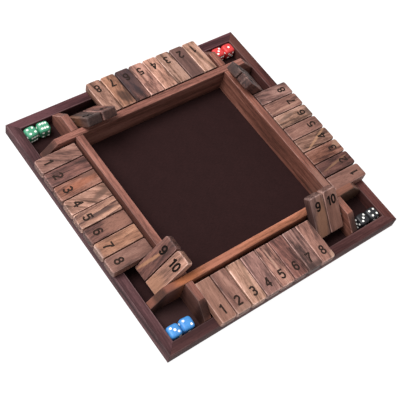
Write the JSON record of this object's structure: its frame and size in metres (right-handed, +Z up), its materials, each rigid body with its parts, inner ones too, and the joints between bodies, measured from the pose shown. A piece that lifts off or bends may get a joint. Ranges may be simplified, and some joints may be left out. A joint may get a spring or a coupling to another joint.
{
  "type": "shut the box board",
  "caption": "Square four-sided shut the box board: number tiles hinged on rods round a felt dice tray, with paired dice in corner pockets.",
  "frame": {"origin": "centre of the board's underside", "axes": "+Z up; side a faces -X, side b faces -Y, side c faces +X and side d faces +Y"},
  "size_m": [0.3608, 0.3608, 0.0606],
  "materials": {
    "frame_wood": "dark reddish brown stain under a thin satin varnish",
    "rail_wood": "light reddish brown hardwood, satin varnish",
    "base_wood": "dark stained thin board",
    "felt": "very dark brown pressed felt",
    "rod_steel": "drawn steel rod",
    "tile_rose": "sawn and sanded pinkish brown hardwood, waxed",
    "tile_umber": "sawn and sanded dark heartwood, waxed",
    "tile_russet": "sawn and sanded orange brown hardwood, waxed",
    "tile_tan": "sawn and sanded light hardwood, waxed",
    "tile_striped": "sawn and sanded light hardwood with a dark stripe, waxed",
    "tile_golden": "sawn and sanded golden hardwood, waxed",
    "tile_straw": "sawn and sanded pale sapwood, waxed",
    "tile_greyed": "sawn and sanded grey brown hardwood, waxed",
    "dice_green": "tumbled green plastic with white pips",
    "dice_red": "tumbled red plastic with white pips",
    "dice_black": "tumbled black plastic with white pips",
    "dice_blue": "tumbled blue plastic with white pips"
  },
  "bodies": {
    "board": {"outer_frame": "frame_wood", "base_board": "base_wood", "felt_lining": "felt", "tray_rail_a": "rail_wood", "tray_rail_b": "rail_wood", "tray_rail_c": "rail_wood", "tray_rail_d": "rail_wood", "tile_rod_a": "rod_steel", "tile_rod_b": "rod_steel", "tile_rod_c": "rod_steel", "tile_rod_d": "rod_steel"},
    "tile_a1": {"tile_a1": "tile_rose"},
    "tile_a2": {"tile_a2": "tile_umber"},
    "tile_a3": {"tile_a3": "tile_russet"},
    "tile_a4": {"tile_a4": "tile_tan"},
    "tile_a5": {"tile_a5": "tile_striped"},
    "tile_a6": {"tile_a6": "tile_umber"},
    "tile_a7": {"tile_a7": "tile_golden"},
    "tile_a8": {"tile_a8": "tile_rose"},
    "tile_a9": {"tile_a9": "tile_umber"},
    "tile_a10": {"tile_a10": "tile_tan"},
    "tile_b1": {"tile_b1": "tile_tan"},
    "tile_b2": {"tile_b2": "tile_rose"},
    "tile_b3": {"tile_b3": "tile_straw"},
    "tile_b4": {"tile_b4": "tile_greyed"},
    "tile_b5": {"tile_b5": "tile_rose"},
    "tile_b6": {"tile_b6": "tile_umber"},
    "tile_b7": {"tile_b7": "tile_greyed"},
    "tile_b8": {"tile_b8": "tile_rose"},
    "tile_b9": {"tile_b9": "tile_greyed"},
    "tile_b10": {"tile_b10": "tile_rose"},
    "tile_c1": {"tile_c1": "tile_rose"},
    "tile_c2": {"tile_c2": "tile_umber"},
    "tile_c3": {"tile_c3": "tile_russet"},
    "tile_c4": {"tile_c4": "tile_tan"},
    "tile_c5": {"tile_c5": "tile_rose"},
    "tile_c6": {"tile_c6": "tile_straw"},
    "tile_c7": {"tile_c7": "tile_rose"},
    "tile_c8": {"tile_c8": "tile_greyed"},
    "tile_c9": {"tile_c9": "tile_umber"},
    "tile_c10": {"tile_c10": "tile_greyed"},
    "tile_d1": {"tile_d1": "tile_straw"},
    "tile_d2": {"tile_d2": "tile_greyed"},
    "tile_d3": {"tile_d3": "tile_straw"},
    "tile_d4": {"tile_d4": "tile_tan"},
    "tile_d5": {"tile_d5": "tile_rose"},
    "tile_d6": {"tile_d6": "tile_umber"},
    "tile_d7": {"tile_d7": "tile_golden"},
    "tile_d8": {"tile_d8": "tile_tan"},
    "tile_d9": {"tile_d9": "tile_umber"},
    "tile_d10": {"tile_d10": "tile_greyed"},
    "die_green_1": {"die_green_1": "dice_green"},
    "die_green_2": {"die_green_2": "dice_green"},
    "die_red_1": {"die_red_1": "dice_red"},
    "die_red_2": {"die_red_2": "dice_red"},
    "die_black_1": {"die_black_1": "dice_black"},
    "die_black_2": {"die_black_2": "dice_black"},
    "die_blue_1": {"die_blue_1": "dice_blue"},
    "die_blue_2": {"die_blue_2": "dice_blue"}
  },
  "joints": [
    {"name": "tile_a1_turn", "type": "hinge", "parent": "board", "child": "tile_a1", "pos_m": [-0.1378, 0.0967, 0.0259], "axis": [0, 1, 0], "range_deg": [0, 132]},
    {"name": "tile_a2_turn", "type": "hinge", "parent": "board", "child": "tile_a2", "pos_m": [-0.1378, 0.0748, 0.0259], "axis": [0, 1, 0], "range_deg": [0, 135.2]},
    {"name": "tile_a3_turn", "type": "hinge", "parent": "board", "child": "tile_a3", "pos_m": [-0.1378, 0.053, 0.0259], "axis": [0, 1, 0], "range_deg": [0, 135.2]},
    {"name": "tile_a4_turn", "type": "hinge", "parent": "board", "child": "tile_a4", "pos_m": [-0.1378, 0.0311, 0.0259], "axis": [0, 1, 0], "range_deg": [0, 135.2]},
    {"name": "tile_a5_turn", "type": "hinge", "parent": "board", "child": "tile_a5", "pos_m": [-0.1378, 0.0096, 0.0259], "axis": [0, 1, 0], "range_deg": [0, 135.2]},
    {"name": "tile_a6_turn", "type": "hinge", "parent": "board", "child": "tile_a6", "pos_m": [-0.1378, -0.0124, 0.0259], "axis": [0, 1, 0], "range_deg": [0, 135.2]},
    {"name": "tile_a7_turn", "type": "hinge", "parent": "board", "child": "tile_a7", "pos_m": [-0.1378, -0.0342, 0.0259], "axis": [0, 1, 0], "range_deg": [0, 135.2]},
    {"name": "tile_a8_turn", "type": "hinge", "parent": "board", "child": "tile_a8", "pos_m": [-0.1378, -0.0562, 0.0259], "axis": [0, 1, 0], "range_deg": [0, 135.2]},
    {"name": "tile_a9_turn", "type": "hinge", "parent": "board", "child": "tile_a9", "pos_m": [-0.1378, -0.078, 0.0259], "axis": [0, 1, 0], "range_deg": [-135.2, 0]},
    {"name": "tile_a10_turn", "type": "hinge", "parent": "board", "child": "tile_a10", "pos_m": [-0.1378, -0.0999, 0.0259], "axis": [0, 1, 0], "range_deg": [-135.2, 0]},
    {"name": "tile_b1_turn", "type": "hinge", "parent": "board", "child": "tile_b1", "pos_m": [-0.099, -0.1378, 0.0259], "axis": [-1, 0, 0], "range_deg": [0, 126]},
    {"name": "tile_b2_turn", "type": "hinge", "parent": "board", "child": "tile_b2", "pos_m": [-0.0771, -0.1378, 0.0259], "axis": [-1, 0, 0], "range_deg": [0, 135.2]},
    {"name": "tile_b3_turn", "type": "hinge", "parent": "board", "child": "tile_b3", "pos_m": [-0.0545, -0.1378, 0.0259], "axis": [-1, 0, 0], "range_deg": [0, 135.2]},
    {"name": "tile_b4_turn", "type": "hinge", "parent": "board", "child": "tile_b4", "pos_m": [-0.033, -0.1378, 0.0259], "axis": [-1, 0, 0], "range_deg": [0, 135.2]},
    {"name": "tile_b5_turn", "type": "hinge", "parent": "board", "child": "tile_b5", "pos_m": [-0.0116, -0.1378, 0.0259], "axis": [-1, 0, 0], "range_deg": [0, 135.2]},
    {"name": "tile_b6_turn", "type": "hinge", "parent": "board", "child": "tile_b6", "pos_m": [0.0099, -0.1378, 0.0259], "axis": [-1, 0, 0], "range_deg": [0, 135.2]},
    {"name": "tile_b7_turn", "type": "hinge", "parent": "board", "child": "tile_b7", "pos_m": [0.0319, -0.1378, 0.0259], "axis": [-1, 0, 0], "range_deg": [0, 135.2]},
    {"name": "tile_b8_turn", "type": "hinge", "parent": "board", "child": "tile_b8", "pos_m": [0.053, -0.1378, 0.0259], "axis": [-1, 0, 0], "range_deg": [0, 135.2]},
    {"name": "tile_b9_turn", "type": "hinge", "parent": "board", "child": "tile_b9", "pos_m": [0.0745, -0.1378, 0.0259], "axis": [-1, 0, 0], "range_deg": [-135.2, 0]},
    {"name": "tile_b10_turn", "type": "hinge", "parent": "board", "child": "tile_b10", "pos_m": [0.0962, -0.1378, 0.0259], "axis": [-1, 0, 0], "range_deg": [-135.2, 0]},
    {"name": "tile_c1_turn", "type": "hinge", "parent": "board", "child": "tile_c1", "pos_m": [0.1378, -0.0999, 0.0259], "axis": [0, -1, 0], "range_deg": [0, 131]},
    {"name": "tile_c2_turn", "type": "hinge", "parent": "board", "child": "tile_c2", "pos_m": [0.1378, -0.0776, 0.0259], "axis": [0, -1, 0], "range_deg": [0, 135.2]},
    {"name": "tile_c3_turn", "type": "hinge", "parent": "board", "child": "tile_c3", "pos_m": [0.1378, -0.0559, 0.0259], "axis": [0, -1, 0], "range_deg": [0, 135.2]},
    {"name": "tile_c4_turn", "type": "hinge", "parent": "board", "child": "tile_c4", "pos_m": [0.1378, -0.034, 0.0259], "axis": [0, -1, 0], "range_deg": [0, 135.2]},
    {"name": "tile_c5_turn", "type": "hinge", "parent": "board", "child": "tile_c5", "pos_m": [0.1378, -0.0124, 0.0259], "axis": [0, -1, 0], "range_deg": [0, 135.2]},
    {"name": "tile_c6_turn", "type": "hinge", "parent": "board", "child": "tile_c6", "pos_m": [0.1378, 0.0093, 0.0259], "axis": [0, -1, 0], "range_deg": [0, 135.2]},
    {"name": "tile_c7_turn", "type": "hinge", "parent": "board", "child": "tile_c7", "pos_m": [0.1378, 0.031, 0.0259], "axis": [0, -1, 0], "range_deg": [0, 135.2]},
    {"name": "tile_c8_turn", "type": "hinge", "parent": "board", "child": "tile_c8", "pos_m": [0.1378, 0.0526, 0.0259], "axis": [0, -1, 0], "range_deg": [0, 135.2]},
    {"name": "tile_c9_turn", "type": "hinge", "parent": "board", "child": "tile_c9", "pos_m": [0.1378, 0.0742, 0.0259], "axis": [0, -1, 0], "range_deg": [-135.2, 0]},
    {"name": "tile_c10_turn", "type": "hinge", "parent": "board", "child": "tile_c10", "pos_m": [0.1378, 0.0959, 0.0259], "axis": [0, -1, 0], "range_deg": [-135.2, 0]},
    {"name": "tile_d1_turn", "type": "hinge", "parent": "board", "child": "tile_d1", "pos_m": [0.0994, 0.1378, 0.0259], "axis": [1, 0, 0], "range_deg": [0, 132]},
    {"name": "tile_d2_turn", "type": "hinge", "parent": "board", "child": "tile_d2", "pos_m": [0.0779, 0.1378, 0.0259], "axis": [1, 0, 0], "range_deg": [0, 135.2]},
    {"name": "tile_d3_turn", "type": "hinge", "parent": "board", "child": "tile_d3", "pos_m": [0.0558, 0.1378, 0.0259], "axis": [1, 0, 0], "range_deg": [0, 135.2]},
    {"name": "tile_d4_turn", "type": "hinge", "parent": "board", "child": "tile_d4", "pos_m": [0.0345, 0.1378, 0.0259], "axis": [1, 0, 0], "range_deg": [0, 135.2]},
    {"name": "tile_d5_turn", "type": "hinge", "parent": "board", "child": "tile_d5", "pos_m": [0.0126, 0.1378, 0.0259], "axis": [1, 0, 0], "range_deg": [0, 135.2]},
    {"name": "tile_d6_turn", "type": "hinge", "parent": "board", "child": "tile_d6", "pos_m": [-0.0091, 0.1378, 0.0259], "axis": [1, 0, 0], "range_deg": [0, 135.2]},
    {"name": "tile_d7_turn", "type": "hinge", "parent": "board", "child": "tile_d7", "pos_m": [-0.0312, 0.1378, 0.0259], "axis": [1, 0, 0], "range_deg": [0, 135.2]},
    {"name": "tile_d8_turn", "type": "hinge", "parent": "board", "child": "tile_d8", "pos_m": [-0.0529, 0.1378, 0.0259], "axis": [1, 0, 0], "range_deg": [0, 135.2]},
    {"name": "tile_d9_turn", "type": "hinge", "parent": "board", "child": "tile_d9", "pos_m": [-0.0745, 0.1378, 0.0259], "axis": [1, 0, 0], "range_deg": [-135.2, 0]},
    {"name": "tile_d10_turn", "type": "hinge", "parent": "board", "child": "tile_d10", "pos_m": [-0.0961, 0.1378, 0.0259], "axis": [1, 0, 0], "range_deg": [-135.2, 0]},
    {"name": "die_green_1_lift", "type": "slide", "parent": "board", "child": "die_green_1", "axis": [0, 0, 1], "range_m": [0, 0.04]},
    {"name": "die_green_2_lift", "type": "slide", "parent": "board", "child": "die_green_2", "axis": [0, 0, 1], "range_m": [0, 0.04]},
    {"name": "die_red_1_lift", "type": "slide", "parent": "board", "child": "die_red_1", "axis": [0, 0, 1], "range_m": [0, 0.04]},
    {"name": "die_red_2_lift", "type": "slide", "parent": "board", "child": "die_red_2", "axis": [0, 0, 1], "range_m": [0, 0.04]},
    {"name": "die_black_1_lift", "type": "slide", "parent": "board", "child": "die_black_1", "axis": [0, 0, 1], "range_m": [0, 0.04]},
    {"name": "die_black_2_lift", "type": "slide", "parent": "board", "child": "die_black_2", "axis": [0, 0, 1], "range_m": [0, 0.04]},
    {"name": "die_blue_1_lift", "type": "slide", "parent": "board", "child": "die_blue_1", "axis": [0, 0, 1], "range_m": [0, 0.04]},
    {"name": "die_blue_2_lift", "type": "slide", "parent": "board", "child": "die_blue_2", "axis": [0, 0, 1], "range_m": [0, 0.04]}
  ]
}
